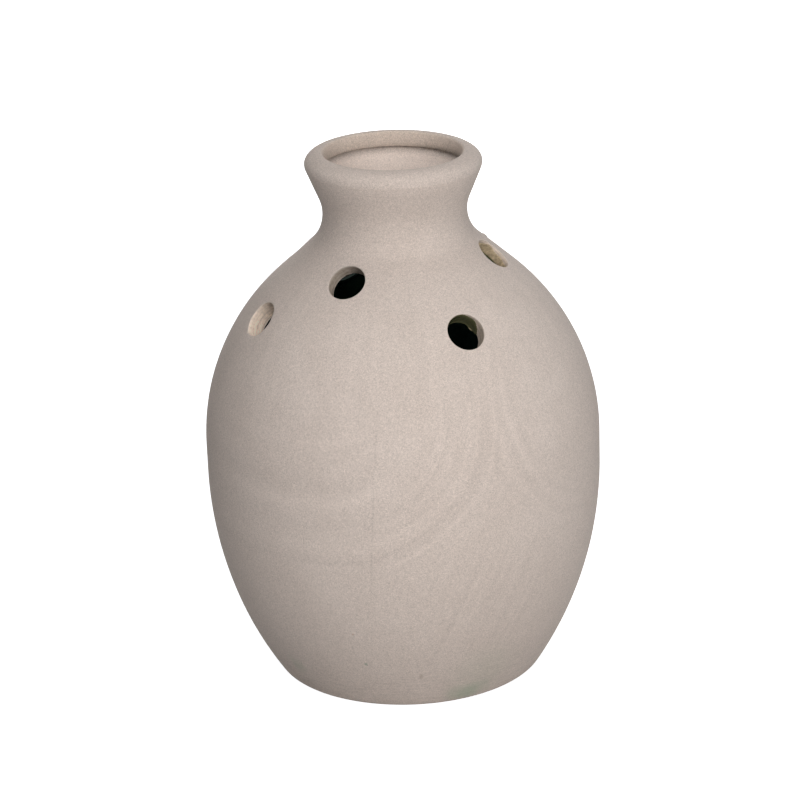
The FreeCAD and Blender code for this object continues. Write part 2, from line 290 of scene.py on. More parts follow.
def clayOutline():
    f = form
    footMeet = facing(f.lowerCentre, f.footCentre)
    points = [(ring, 0) for ring in f.soleRings]
    points += arcPoints(f.footCentre, f.footEdge, -pi / 2, footMeet, steps.footEdge)
    points += arcPoints(f.lowerCentre, f.lower, footMeet, 0, steps.lower)
    points += linePoints((f.bellyRadius, f.bellyLow), (f.bellyRadius, f.bellyHeight), steps.band)
    points += arcPoints(f.shoulderCentre, f.shoulderRadius, 0, f.turn, steps.shoulder)
    points += linePoints(f.runStart, f.runEnd, steps.run)
    points += arcPoints(f.neckCentre, f.neckRadius, pi + f.turn, pi - f.flare,
                        steps.neck)
    points += linePoints(f.flareStart, f.flareEnd, steps.flare)
    # round under its widest place, the lip is a broad low dome over the top
    points += arcPoints(f.lipCentre, f.lipRadius, -f.flare, 0, steps.lipUnder)
    mouthEdge = f.lipCentre[0] + f.lipRadius - f.lipReach
    for i in range(1, steps.lipDome + 1):
        t = pi / 2 * i / steps.lipDome
        points.append((mouthEdge + f.lipReach * cos(t), f.lipCentre[1] + f.lipRise * sin(t)))
    outside = len(points)
    # the inner face of the lip swells a little and tucks under into a cut groove
    mouth = mouthEdge - f.lipEdge
    faceTop = f.lipCentre[1] + f.lipRise - f.lipEdge
    faceEnd = f.lipUnder + f.lipTuck
    points += arcPoints((mouthEdge, faceTop), f.lipEdge, pi / 2, pi, steps.lipEdge)[1:]
    for i in range(1, steps.lipFace + 1):
        t = i / steps.lipFace
        points.append((mouth - f.lipSwell * sin(pi * t), faceTop + t * (faceEnd - faceTop)))
    for share, more, below in f.grooveCut:
        points.append((mouth + share * f.lipGroove + more, f.lipUnder - below))
    throatStart = points[-1]
    reach = dist(f.neckCentre, throatStart)
    first = facing(f.neckCentre, throatStart) + acos(f.innerNeck / reach)
    points += linePoints(throatStart, onCircle(f.neckCentre, f.innerNeck, first), steps.throat)[1:]
    points += innerWall(0, first, steps.clayInside)
    return points, outside


# from the floor up the back of the glaze, over a rounded top edge, and down its front
def glazeOutline():
    def side(setIn):
        first = pi + asin(form.glazeDrop / (form.innerNeck + setIn))
        return innerWall(setIn, first, steps.glazeInside)

    back = side(-form.glazeSoak)
    front = side(form.glazeThickness)
    points = list(reversed(back))
    a, b = back[0], front[0]
    half = dist(a, b) / 2
    for i in range(1, steps.glazeEdge):
        turnBy = pi * i / steps.glazeEdge
        points.append(((a[0] + b[0]) / 2 + cos(turnBy) * (a[0] - b[0]) / 2,
                       (a[1] + b[1]) / 2 + sin(turnBy) * half))
    return points + front, len(back)


# a chain of points with the directions and weights that the turning tree reads
outlineMarks = ("seamWeight", "unevenWeight", "edgeWeight", "leanWeight")


def outlineObject(name, points, **weights):
    count = len(points)
    places = np.array(points, float) * mm
    made = helperObject(name, [(x, 0, z) for x, z in places], [(i, i + 1) for i in range(count - 1)], [])
    along = np.gradient(places, axis=0)
    along /= np.linalg.norm(along, axis=1)[:, None]
    level = np.zeros(count)
    mark(made.data, "outward", np.stack([along[:, 1], level, -along[:, 0]], axis=1))
    mark(made.data, "lengthwise", np.stack([along[:, 0], level, along[:, 1]], axis=1))
    for label in outlineMarks:
        mark(made.data, label, weights.get(label, level))
    return made


# stem holes: tilt above level and azimuth in degrees, two staggered rows of four, each hole a little
# off its row: by degrees round the shoulder in the low row, by millimetres up the run in the high one

stemHoles = dict(
    radius=8.7, softEdge=0.3, rimTurn=68, reachIn=13, sides=72, rimRows=7,
    cutterSkirt=2.6, cutterHead=5, bevelled=(4,), bevelDepth=6.2, bevelFlare=(3.2, 2.3),
    # distance between the rows of points on a cutter, and how many
    wallRows=(1.6, 8), bevelRows=(1.2, 5),
    # a hole whose burr is below the least share of a full one has none
    burrDepths=(8.1, 7.9, 7, 7, 7.8, 7.6, 7, 7), fullBurr=8, leastBurr=0.9,
    # the burr's rounded end: in from its side, up from its end
    burrWidth=1.7, burrRoot=5.5, burrRound=((0.9, 0), (0.3, 0.25), (0, 0.75)),
    # painted light and shade on each wall: its level, and where round the hole it is palest and by how much
    wallTones=((1.1, 314, 0.55), (0.85, 0, 0), (1, 0, 0.1), (0.32, 180, 0.9),
        (0.47, 275, 0.4), (1, 0, 0), (0.9, 180, 0.1), (1, 270, 0.1)),
    lowTilt=40.2, lowAzimuths=(-157.2, -63.6, 26, 114.5), lowOffsets=(0.55, -0.55, 0.1, -0.1),
    highTilt=48.4, highRun=14.8, highAzimuths=(-119, -12.1, 71, 158),
    highOffsets=(-1.3, 1, -0.3, -0.7),
)
stem = Named(**stemHoles)
holeMarks = ("tilt", "azimuth", "alongBend", "acrossBend", "burrScale", "bevelled", "axis")


def placeHoles():
    h = stem
    holes = []
    for row in ("low", "high"):
        for azimuth, offset in zip(stemHoles[row + "Azimuths"], stemHoles[row + "Offsets"]):
            low = row == "low"
            tilt = radians(h.lowTilt - offset if low else h.highTilt)
            onWall = onCircle(form.shoulderCentre, form.shoulderRadius, tilt)
            if not low:
                onWall = onCircle(onWall, h.highRun + offset, pi / 2 + tilt)
            turn = radians(azimuth)
            number = len(holes)
            burr = h.burrDepths[number]
            bevelled = number in h.bevelled
            holes.append(Named(
                tilt=tilt, azimuth=turn, axis=leaningOut(turn, tilt) @ Vector((0, 0, 1)),
                place=Vector((onWall[0] * cos(turn), onWall[0] * sin(turn), onWall[1])) * mm,
                alongBend=1 / form.shoulderRadius / mm if low else 0.0,
                acrossBend=cos(tilt) / onWall[0] / mm,
                burrScale=burr / h.fullBurr, burred=burr / h.fullBurr > h.leastBurr,
                burrDepth=h.bevelDepth if bevelled else burr, bevelled=float(bevelled),
                tone=h.wallTones[number]))
    return holes


holes = placeHoles()


# holes without a burr are cut narrower by the given factor
def holeLayoutObject(name, narrower):
    made = helperObject(name, [hole.place for hole in holes], [], [])
    for label in holeMarks:
        mark(made.data, label, [getattr(hole, label) for hole in holes])
    mark(made.data, "cutWidth", [1.0 if hole.burred else narrower for hole in holes])
    return made


# a turned plug on its own Z axis, with z = 0 where the outer face of the wall is
def plugObject(name, rows):
    verts, rings = [], []
    for radius, z in rows:
        sides = stem.sides if radius else 1
        rings.append(range(len(verts), len(verts) + sides))
        for i in range(sides):
            x, y = onCircle((0, 0), radius, 2 * pi * i / sides)
            verts.append((x * mm, y * mm, z * mm))
    return helperObject(name, verts, [], ringFaces(rings))


# a cutter that flares at the face of the wall, for a soft rim, and at its inner end for a bevel
def flaredRows(bevelled):
    h = stem
    radius, edge, skirt = h.radius, h.softEdge, h.cutterSkirt
    start, (step, count) = (-h.bevelDepth, h.bevelRows) if bevelled else (-h.reachIn, h.wallRows)
    rows = [(0, -h.reachIn)]
    if bevelled:
        wide, slope = h.bevelFlare
        rows += [(radius + wide, -h.reachIn), (radius + wide, start - slope)]
    rows += [(radius, start + step * i) for i in range(count)]
    last = radians(h.rimTurn)
    rows += [(radius + edge * (1 - cos(a)), edge * (sin(a) - sin(last)))
             for a in np.linspace(0, last, h.rimRows)]
    wide = rows[-1][0] + skirt * sin(last)
    return rows + [(wide, skirt * cos(last)), (wide, h.cutterHead), (0, h.cutterHead)]


# the burr that a cutter pushes in at the inner face of the wall, still solid before the cut
def burrRows():
    wide, deep, root = stem.radius + stem.burrWidth, -stem.fullBurr, -stem.burrRoot
    rounded = [(wide - inBy, deep + up) for inBy, up in stem.burrRound]
    return [(0, deep), *rounded, (wide, root), (0, root)]


# materials

# a new material or world with nothing in its tree yet
def emptyTree(kind, name):
    made = kind.new(name)
    made.use_nodes = True
    made.node_tree.nodes.clear()
    return made, TreeBuilder(made.node_tree)


def newMaterial(name):
    made, n = emptyTree(bpy.data.materials, name)
    shader = n.add("ShaderNodeBsdfPrincipled")
    n.add("ShaderNodeOutputMaterial", {"Surface": shader.outputs[0]})
    return made, n, shader, n.add("ShaderNodeTexCoord").outputs["Object"]


# torn, pitted grain about zero, which the raw clay and the glaze share
def pittedGrainGroup():
    group = bpy.data.node_groups.new("pitted_grain", "ShaderNodeTree")
    for label, kind in (("Place", "Vector"), ("Scale", "Float"), ("Depth", "Float")):
        group.interface.new_socket(label, in_out="INPUT", socket_type="NodeSocket" + kind)
    group.interface.new_socket("Grain", in_out="OUTPUT", socket_type="NodeSocketFloat")
    n = TreeBuilder(group)
    given = n.add("NodeGroupInput").outputs
    pits = n.ripple(given["Place"], given["Scale"], 3.0, 0.7)
    n.add("NodeGroupOutput", {"Grain": n.times(pits, given["Depth"])})
    return group


pittedGrain = pittedGrainGroup()


def pitted(n, place, scale, depth):
    made = n.add("ShaderNodeGroup", {"Place": place, "Scale": scale, "Depth": depth}, node_tree=pittedGrain)
    return made.outputs["Grain"]


def finishShader(n, shader, look, colour, rough, height):
    relief = n.add("ShaderNodeBump", {"Height": height, "Strength": look.bump,
                                      "Distance": look.reliefDepth * mm})
    n.fill(shader, {"Base Color": colour, "Roughness": rough, "Specular IOR Level": look.specular,
                    "Normal": relief.outputs[0]})


# lengths in millimetres, azimuths in degrees; a pair fades a mark from nothing to full
clayFinish = dict(
    colour=(0.605, 0.522, 0.466, 1), pale=(0.675, 0.590, 0.532, 1), deep=(0.530, 0.450, 0.396, 1),
    cutClay=(0.615, 0.515, 0.425, 1), speck=(0.20, 0.15, 0.12, 1), lipTint=(1, 0.97, 0.925, 1),
    greenSmear=(0.30, 0.38, 0.27, 1), greenDot=(0.20, 0.27, 0.20, 1),
    rustDot=(0.46, 0.28, 0.21, 1), brownDrop=(0.42, 0.34, 0.28, 1),
    # scale, detail and roughness of each layer of noise
    layers=dict(grain=(1150, 3, 0.65), fine=(2700, 1), coarse=(420, 3, 0.6),
        mottle=(34, 4, 0.6), broad=(9,), sway=(18,), patches=(15, 1),
        breaks=(45,), ragged=(120, 3), waves=(110,)),
    # smoothed ranges: from, to, and the values there
    ranges=dict(mottle=(0.3, 0.7, 0.15, 0.65), broad=(0.35, 0.7, 0, 0.35), dust=(0.3, 0.65, 0.5, 1),
        patches=(0.3, 0.6, 0.45, 1), breaks=(0.38, 0.6, 0.2, 1),
        burr=(0.7, 0.1, 0, 0.7), rough=(0.3, 0.7, 0.86, 0.97),
        speckSize=(0.075, 0.035), speckChance=(0.80, 0.95, 0, 0.5)),
    grainColour=0.54, fineColour=0.84, coarseColour=0.12,
    # casting marks: their centres as azimuth and height
    flowCentre=(-112.9, 160), farCentre=(-22.5, 150), flowStrength=0.058, swayBy=9,
    flowUp=(6, -22), flowAcross=(-95, -55), leftSide=(46, 12), rightSide=(15, 45),
    # distance from the centre, half width, strength, side
    flowArcs=((20, 4.5, 0.7, "left"), (39, 7, -0.5, "left"), (48, 5.5, 1, "left"),
        (59.5, 6, -0.45, "left"), (70.5, 4.5, 0.8, "both"), (77.5, 2.4, -1, "both"),
        (56.5, 1.7, 0.75, "right"), (60, 1.5, -0.6, "right"), (63.5, 1.6, 0.6, "right"),
        (84, 1.8, 0.45, "right")),
    # fine lines: scale, detail, strength
    threads=(330, 2, 2.6), threadBand=((46, 58), (108, 84)),
    farLines=(240, 3, 3), farBand=((26, 40), (78, 64)),
    farAcross=(5, -20), farUp=(30, -10),
    fan=(210, 2, 3.2), fanLean=0.435,
    fanHeights=((22, 45), (98, 75)), fanAcross=((-20, 20), (85, 60)),
    drips=0.13, dripScale=130, dripStretch=0.14, dripHeights=((118, 160), (212, 190)),
    footStreaks=0.30, footScale=1100, footRound=4, footHeights=(30, 14),
    turningLines=0.07, turningScale=1500, neckHeights=(196, 212), speckScale=150,
    seamTop=(-96, 187), seamFoot=(-100.5, 75), seamLine=0.075, seamEdge=(0.7, 0.2),
    seamHeights=((35, 65), (188, 165)),
    # painted shade on the outside of the neck and in the groove under the lip, and painted light inside the
    # throat
    neckTone=0.07, neckBand=((211, 221), (244, 236)), paleThroat=0.33, grooveDust=0.75,
    raggedBy=12, smearCore=1, dropCore=0.3, dropStrength=0.62,
    # where, reach, squash in height, strength
    smears=(((-67, 6.5), 15, 1.8, 0.5), ((-62, 17), 25, 1, 0.14),
        ((-137.5, 17), 7, 1, 0.25)),
    # colour, where, radius, squash in height
    drops=(("greenDot", (-105.5, 28), 1.1, 1), ("rustDot", (-108, 45.5), 0.7, 1),
        ("brownDrop", (-86.6, 20.3), 1.2, 0.35)),
    toolRings=0.9, ringWaves=1.5, tornScale=620, rimPale=0.55, specular=0.25,
    # relief of the grain, the coarse grain, the turning lines and the tool rings
    relief=(0.6, 0.55, 0.6, 3), bump=0.40, reliefDepth=0.45,
)


# a point on the outside of the lower wall at that azimuth and height
def wallPoint(azimuth, height):
    centre = form.lowerCentre
    out = centre[0] + sqrt(form.lower ** 2 - (height - centre[1]) ** 2)
    x, y = onCircle((0, 0), out, radians(azimuth))
    return (x * mm, y * mm, height * mm)


def clayMaterial():
    c = Named(**clayFinish)
    made, n, shader, place = newMaterial("bisque_clay")
    x, y, z = n.separated(place)
    azimuth = n.maths("ARCTAN2", y, x)
    girth = form.bellyRadius * mm

    # distance round the belly from an azimuth, and straight from a point on the wall
    def beside(degrees):
        return n.times(n.maths("WRAP", n.minus(azimuth, radians(degrees)), pi, -pi), girth)

    def lengthOf(across, up):
        return n.maths("SQRT", n.plus(n.times(across, across), n.times(up, up)))

    def awayFrom(where, squash):
        away = n.vectors("SUBTRACT", place, wallPoint(*where))
        return n.vectors("LENGTH", n.vectors("MULTIPLY", away, (1.0, 1.0, squash)))

    def lines(along, values, *masks):
        scale, detail, strength = values
        return n.times(n.rippleAlong(along, scale, detail), *masks, strength)

    def ranged(value, key):
        return n.between(value, *c.ranges[key])

    # what lightens or darkens the clay is gathered in one list
    tones = []

    def addTone(*values):
        tones.append(n.times(*values))

    # sandy grain and slow mottling
    layer = {key: n.noise(place, *values) for key, values in c.layers.items()}
    colour = n.mixed(ranged(layer["mottle"], "mottle"), c.colour, c.pale)
    colour = n.mixed(ranged(layer["broad"], "broad"), colour, c.deep)
    for key in ("grain", "fine", "coarse"):
        addTone(n.minus(layer[key], 0.5), clayFinish[key + "Colour"])

    # lines that the casting slip left: level on the left of a point, turning up on the right of it
    sway = n.times(n.minus(layer["sway"], 0.5), c.swayBy * mm)
    across = beside(c.flowCentre[0])
    up = n.minus(z, c.flowCentre[1] * mm)
    bend = n.plus(lengthOf(n.maths("MAXIMUM", across, 0.0), up), sway)
    sides = {"left": n.fade(across, c.leftSide), "right": n.fade(across, c.rightSide), "both": 1.0}
    flow = lines(bend, c.threads, n.band(bend, *c.threadBand), sides["right"])
    for span, half, strength, side in c.flowArcs:
        off = n.maths("ABSOLUTE", n.minus(bend, span * mm))
        flow = n.plus(flow, n.times(n.fade(off, (half, 0.0)), sides[side], strength))
    flow = n.times(flow, n.fade(up, c.flowUp), n.fade(across, c.flowAcross))

    # a second set that bends away to the right, and a faint fan under both
    farAcross = beside(c.farCentre[0])
    farUp = n.minus(z, c.farCentre[1] * mm)
    farBend = n.plus(lengthOf(farAcross, farUp), sway)
    fromFront = beside(-90.0)
    flow = n.plus(flow, lines(farBend, c.farLines, n.band(farBend, *c.farBand),
                              n.fade(farAcross, c.farAcross), n.fade(farUp, c.farUp)))
    flow = n.plus(flow, lines(n.minus(fromFront, n.times(z, c.fanLean)), c.fan,
                              n.band(z, *c.fanHeights), n.band(fromFront, *c.fanAcross)))
    addTone(flow, ranged(layer["patches"], "patches"), c.flowStrength)

    # faint drips down the shoulder, streaks where the foot was wiped, and turning lines on the neck
    drips = n.ripple(n.combined(n.times(azimuth, girth), n.times(z, c.dripStretch), 0.0), c.dripScale)
    addTone(drips, n.band(z, *c.dripHeights), c.drips)
    wiped = n.ripple(n.combined(n.times(azimuth, c.footRound * mm), z, 0.0), c.footScale)
    addTone(wiped, n.fade(z, c.footHeights), c.footStreaks)
    turning = n.times(n.rippleAlong(z, c.turningScale), n.fade(z, c.neckHeights))
    addTone(turning, c.turningLines)

    # the mould seams, broken here and there
    (topAzimuth, top), (footAzimuth, foot) = c.seamTop, c.seamFoot
    lean = radians(topAzimuth - footAzimuth) / ((top - foot) * mm)
    seamAt = n.plus(radians(footAzimuth), n.times(n.minus(z, foot * mm), lean))
    seamBy = n.maths("WRAP", n.minus(azimuth, seamAt), pi / 2, -pi / 2)
    seam = n.fade(n.maths("ABSOLUTE", n.times(seamBy, girth)), c.seamEdge)
    addTone(seam, n.band(z, *c.seamHeights), ranged(layer["breaks"], "breaks"), -c.seamLine)

    # painted shade darkens the outside of the neck, painted light makes its inside paler, and painted shade
    # darkens the groove over it
    throat = n.attribute("throat")
    addTone(n.band(z, *c.neckBand), n.minus(1.0, throat), -c.neckTone)
    addTone(throat, c.paleThroat)
    addTone(n.attribute("groove"), ranged(layer["mottle"], "dust"), -c.grooveDust)
    colour = n.mixed(1.0, colour, n.plus(1.0, *tones), "MULTIPLY")
    # the inside of the lip is tinted warmer
    colour = n.mixed(n.attribute("lipInside"), colour, c.lipTint, "MULTIPLY")

    # a few small dark specks
    cells = n.add("ShaderNodeTexVoronoi", {"Vector": place, "Scale": c.speckScale}).outputs
    chance = n.add("ShaderNodeSeparateColor", {0: cells["Color"]}).outputs[0]
    speck = n.times(ranged(cells["Distance"], "speckSize"), ranged(chance, "speckChance"))
    colour = n.mixed(speck, colour, c.speck)

    # glaze smeared on the foot, and small drops
    ragged = n.times(n.minus(layer["ragged"], 0.5), c.raggedBy * mm)
    for where, reach, squash, strength in c.smears:
        spread = n.plus(awayFrom(where, squash), ragged)
        spot = n.between(spread, reach * mm, c.smearCore * mm, 0.0, strength)
        colour = n.mixed(spot, colour, c.greenSmear)
    for key, where, radius, squash in c.drops:
        spot = n.between(awayFrom(where, squash), radius * mm, radius * c.dropCore * mm, 0.0, c.dropStrength)
        colour = n.mixed(spot, colour, clayFinish[key])

    # hole walls show raw cut clay with tool rings, darkened and lightened by painted light and shade, with a
    # painted highlight along the burr's inner edge, and their rims are pale
    bore = n.attribute("boreMask")
    depth = n.attribute("boreDepth")
    toolRings = n.rippleAlong(n.plus(depth, n.times(layer["waves"], c.ringWaves)), 1.0)
    torn = pitted(n, place, c.tornScale, 1.0)
    boreShade = n.times(n.plus(1.0, n.plus(n.times(toolRings, c.toolRings), torn)), n.attribute("boreLightAndShade"))
    cutClay = n.mixed(1.0, c.cutClay, boreShade, "MULTIPLY")
    # a painted highlight along the inner edge of the burr
    toEnd = n.minus(n.attribute("burrEnd"), depth)
    cutClay = n.mixed(ranged(toEnd, "burr"), cutClay, c.pale)
    colour = n.mixed(bore, colour, cutClay)
    colour = n.mixed(n.times(n.attribute("rimEdge"), c.rimPale), colour, c.pale)

    parts = (layer["grain"], layer["coarse"], turning, n.times(n.plus(toolRings, torn), bore))
    height = n.plus(*(n.times(part, by) for part, by in zip(parts, c.relief)))
    finishShader(n, shader, c, colour, ranged(layer["coarse"], "rough"), height)
    return made


glazeFinish = dict(
    thick=(0.014, 0.032, 0.024, 1), thickPale=(0.036, 0.074, 0.058, 1),
    olive=(0.092, 0.090, 0.044, 1), thin=(0.410, 0.322, 0.205, 1), bead=(0.85, 0.80, 0.48, 1),
    # colours from thick to thin glaze and to the painted glint at the end of a drip, with the thinness that
    # each spans
    films=(("olive", 0.05, 0.42), ("thin", 0.40, 0.85), ("bead", 1, 1.25)),
    cloud=(60, 4, 0.6), cloudRange=(0.35, 0.7), cloudThins=0.22, grain=(900, 2, 0.6),
    darkest=0.82, grainColour=0.36, pitScale=620, pitDepth=2.2,
    roughRange=(0.3, 0.8, 0.10, 0.55), dullRough=0.75, specular=0.5, bump=0.25, reliefDepth=0.8,
)


def glazeMaterial():
    g = Named(**glazeFinish)
    made, n, shader, place = newMaterial("green_glaze")
    thin = n.attribute("thinness")
    cloud = n.noise(place, *g.cloud)
    grain = n.noise(place, *g.grain)
    uneven = n.plus(thin, n.times(n.minus(cloud, 0.5), g.cloudThins))
    colour = n.mixed(n.between(cloud, *g.cloudRange), g.thick, g.thickPale)
    for key, low, high in g.films:
        colour = n.mixed(n.between(uneven, low, high), colour, glazeFinish[key])
    pits = n.times(pitted(n, place, g.pitScale, g.pitDepth), thin)
    colour = n.mixed(1.0, colour, n.plus(g.darkest, n.times(grain, g.grainColour), pits), "MULTIPLY")
    dull = n.times(n.attribute("dullness"), g.dullRough)
    rough = n.maths("MAXIMUM", n.between(uneven, *g.roughRange), dull)
    finishShader(n, shader, g, colour, rough, n.plus(cloud, n.times(grain, thin)))
    return made


bisque = clayMaterial()
greenGlaze = glazeMaterial()
print("materials made")


# one tree turns an outline about Z, pierces it with the stem holes and adds a lump of clay

def turningTree(name):
    tree = bpy.data.node_groups.new(name, "GeometryNodeTree")
    tree.is_modifier = True
    sockets = {
        "Geometry": ("Outline",), "Int": ("Columns",),
        "Float": ("Seam azimuth", "Seam crowding", "Seam height", "Seam width", "Unevenness",
                  "Unevenness scale", "Wavy edge", "Seed", "Lean to right", "Lean to back"),
        "Object": ("Hole layout", "Hole cutter", "Bevelled cutter", "Inner burr", "Clay lump"),
        "Material": ("Finish",),
    }
    for kind, labels in sockets.items():
        for label in labels:
            tree.interface.new_socket(label, in_out="INPUT", socket_type="NodeSocket" + kind)
    tree.interface.new_socket("Pierced", in_out="OUTPUT", socket_type="NodeSocketGeometry")
    n = TreeBuilder(tree)
    given = n.add("NodeGroupInput").outputs
    position = n.add("GeometryNodeInputPosition").outputs[0]
    vector = "FLOAT_VECTOR"
    edgeWaves, seamWeld, cutWeld = 2.6, 1e-6, 3e-6

    outline = given["Outline"]
    size = n.add("GeometryNodeAttributeDomainSize", {"Geometry": outline}, component="MESH")
    rows = size.outputs["Point Count"]
    grid = n.add("GeometryNodeMeshGrid", {"Size X": 1.0, "Size Y": 1.0, "Vertices Y": rows,
                                          "Vertices X": n.plus(given["Columns"], 1.0)})
    index = n.add("GeometryNodeInputIndex").outputs[0]
    column, row = (n.add("FunctionNodeIntegerMath", {0: index, 1: rows}, operation=operation).outputs[0]
                   for operation in ("DIVIDE_FLOOR", "MODULO"))

    def named(label, kind="FLOAT"):
        return n.add("GeometryNodeInputNamedAttribute", {"Name": label}, data_type=kind).outputs[0]

    def fromOutline(field, kind="FLOAT"):
        return n.add("GeometryNodeSampleIndex", {"Geometry": outline, "Value": field, "Index": row},
                     data_type=kind).outputs[0]

    def placeOf(label):
        return n.add("GeometryNodeObjectInfo", {"Object": given[label]}).outputs["Geometry"]

    def changed(kind, shape, inputs, **settings):
        return n.add("GeometryNode" + kind, {"Geometry": shape, **inputs}, **settings).outputs[0]

    # columns crowd together at the two mould seams
    phase = n.times(n.maths("DIVIDE", column, given["Columns"]), 2 * pi)
    crowd = n.times(n.maths("SINE", n.times(phase, 2.0)), n.times(given["Seam crowding"], 0.5))
    fromSeam = n.minus(phase, crowd)
    angle = n.plus(fromSeam, given["Seam azimuth"])

    def turned(field):
        return n.add("ShaderNodeVectorRotate", {"Vector": fromOutline(field, vector), "Angle": angle},
                     rotation_type="Z_AXIS").outputs[0]

    place = turned(position)
    outward = turned(named("outward", vector))
    lengthwise = turned(named("lengthwise", vector))
    weight = {label: fromOutline(named(label)) for label in outlineMarks}

    # a low ridge along each seam
    nearSeam = n.maths("WRAP", fromSeam, pi / 2, -pi / 2)
    outBy = n.separated(fromOutline(position, vector))["X"]
    reach = n.maths("DIVIDE", n.times(nearSeam, outBy), given["Seam width"])
    ridge = n.times(n.maths("POWER", math.e, n.times(reach, reach, -1.0)), given["Seam height"],
                    weight["seamWeight"])

    # slow hand-made unevenness, and a wavy edge where the weight asks for it
    def seeded(where, scale, detail):
        made = n.add("ShaderNodeTexNoise", {"Vector": where, "W": given["Seed"], "Scale": scale,
                                            "Detail": detail}, noise_dimensions="4D")
        return n.minus(made.outputs[0], 0.5)

    bulge = n.times(seeded(place, given["Unevenness scale"], 1.0),
                    n.times(given["Unevenness"], weight["unevenWeight"]))
    ring = n.combined(n.maths("COSINE", angle), n.maths("SINE", angle), 0.0)
    slide = n.times(seeded(ring, edgeWaves, 2.0), n.times(given["Wavy edge"], weight["edgeWeight"]))
    moved = n.vectors("ADD", place, n.stretched(outward, n.plus(ridge, bulge)))
    moved = n.vectors("ADD", moved, n.stretched(lengthwise, slide))
    # the lip does not lie quite level
    spot = n.separated(place)
    leanBy = n.plus(n.times(spot["X"], given["Lean to right"]), n.times(spot["Y"], given["Lean to back"]))
    moved = n.vectors("ADD", moved, n.combined(0.0, 0.0, n.times(leanBy, weight["leanWeight"])))
    body = changed("SetPosition", grid.outputs["Mesh"], {"Position": moved})
    body = changed("MergeByDistance", body, {"Distance": seamWeld})

    # one burr and one cutter for each hole, bent to follow the wall around it
    layout = placeOf("Hole layout")
    lean = n.minus(pi / 2, named("tilt"))
    swing = n.add("FunctionNodeEulerToRotation", {0: n.combined(0.0, lean, named("azimuth"))}).outputs[0]
    local = n.separated(named("cutLocal", vector))
    sag = n.times(n.plus(n.times(local["X"], local["X"], named("alongBend")),
                         n.times(local["Y"], local["Y"], named("acrossBend"))), -0.5)

    def onHoles(source, wideBy, deepBy, chosen):
        shape = changed("StoreNamedAttribute", placeOf(source), {"Name": "cutLocal", "Value": position},
                        data_type=vector, domain="POINT")
        placed = n.add("GeometryNodeInstanceOnPoints",
                       {"Points": layout, "Instance": shape, "Rotation": swing,
                        "Scale": n.combined(wideBy, wideBy, deepBy), "Selection": chosen}).outputs[0]
        return changed("SetPosition", changed("RealizeInstances", placed, {}),
                       {"Offset": n.stretched(named("axis", vector), sag)})

    def union(*shapes):
        made = n.add("GeometryNodeMeshBoolean", operation="UNION", solver="EXACT")
        for shape in shapes:
            n.feed(made.inputs["Mesh 2"], shape)
        return made.outputs["Mesh"]

    burrScale = named("burrScale")
    burred = n.maths("GREATER_THAN", burrScale, stem.leastBurr)
    wall = union(body, onHoles("Inner burr", 1.0, burrScale, burred))
    cutters = n.add("GeometryNodeJoinGeometry")
    unbevelled = n.maths("LESS_THAN", named("bevelled"), 0.5)
    bevelled = n.maths("GREATER_THAN", named("bevelled"), 0.5)
    n.feed(cutters.inputs[0], onHoles("Hole cutter", named("cutWidth"), 1.0, unbevelled))
    n.feed(cutters.inputs[0], onHoles("Bevelled cutter", 1.0, 1.0, bevelled))
    pierced = n.add("GeometryNodeMeshBoolean", {"Mesh 1": wall, "Mesh 2": cutters.outputs[0]},
                    operation="DIFFERENCE", solver="EXACT")
    joined = union(pierced.outputs["Mesh"], placeOf("Clay lump"))
    merged = changed("MergeByDistance", joined, {"Distance": cutWeld})
    whole = changed("RealizeInstances", merged, {})
    n.add("NodeGroupOutput", {"Pierced": changed("SetMaterial", whole, {"Material": given["Finish"]})})
    return tree


# runs the tree on an outline and keeps the result as a plain mesh
def turnPiece(name, outline, values):
    modifier = outline.modifiers.new("turning", "NODES")
    modifier.node_group = turning
    keys = {item.name: item.identifier for item in turning.interface.items_tree if item.in_out == "INPUT"}
    for label, value in values.items():
        modifier[keys[label]] = value
    bpy.context.view_layer.update()
    evaluated = outline.evaluated_get(bpy.context.evaluated_depsgraph_get())
    mesh = bpy.data.meshes.new_from_object(evaluated)
    outline.modifiers.remove(modifier)
    mesh.name = name
    for label in ("outward", "lengthwise", "cutLocal", "cutWidth", *outlineMarks, *holeMarks):
        if label in mesh.attributes:
            mesh.attributes.remove(mesh.attributes[label])
    return linked(name, mesh)


# clay shell

clayShell = dict(
    columns=384, seamAzimuth=-98.6, seamCrowding=0.8, seamHeight=0.04, seamWidth=0.42,
    seamHeights=((35, 65), (190, 160)), unevenness=0.55, unevenScale=15.0, seed=3.0,
    unevenHeights=((0, 25), (246, 226)), lipLean=(-0.010, 0.013), leanHeights=(214, 240),
    lumpAzimuth=22.0, lumpRun=17.0, lumpSink=0.5, lumpSize=(1.9, 1.8, 1.1), lumpBumps=0.16,
    lumpFaces=(7, 12),
)
clay = Named(**clayShell)


def clayLumpObject():
    s = clay
    levels, sides = s.lumpFaces
    azimuth = radians(s.lumpAzimuth)
    foot = onCircle(form.runStart, s.lumpRun, pi / 2 + form.turn)
    foot = onCircle(foot, -s.lumpSink, form.turn)
    centre = Matrix.Rotation(azimuth, 3, "Z") @ Vector((foot[0], 0, foot[1])) * mm
    swing = leaningOut(azimuth, form.turn)
    verts, rings = [], []
    for i in range(levels + 1):
        polar = pi * i / levels
        count = sides if 0 < i < levels else 1
        rings.append(range(len(verts), len(verts) + count))
        for j in range(count):
            turn = 2 * pi * j / sides
            out = sin(polar) * (1 + s.lumpBumps * sin(3 * turn + 2 * polar))
            shape = (out * cos(turn), out * sin(turn), cos(polar))
            local = Vector([size * part for size, part in zip(s.lumpSize, shape)])
            verts.append(centre + swing @ (local * mm))
    return helperObject("clayLump", verts, [], ringFaces(rings, downwards=True))


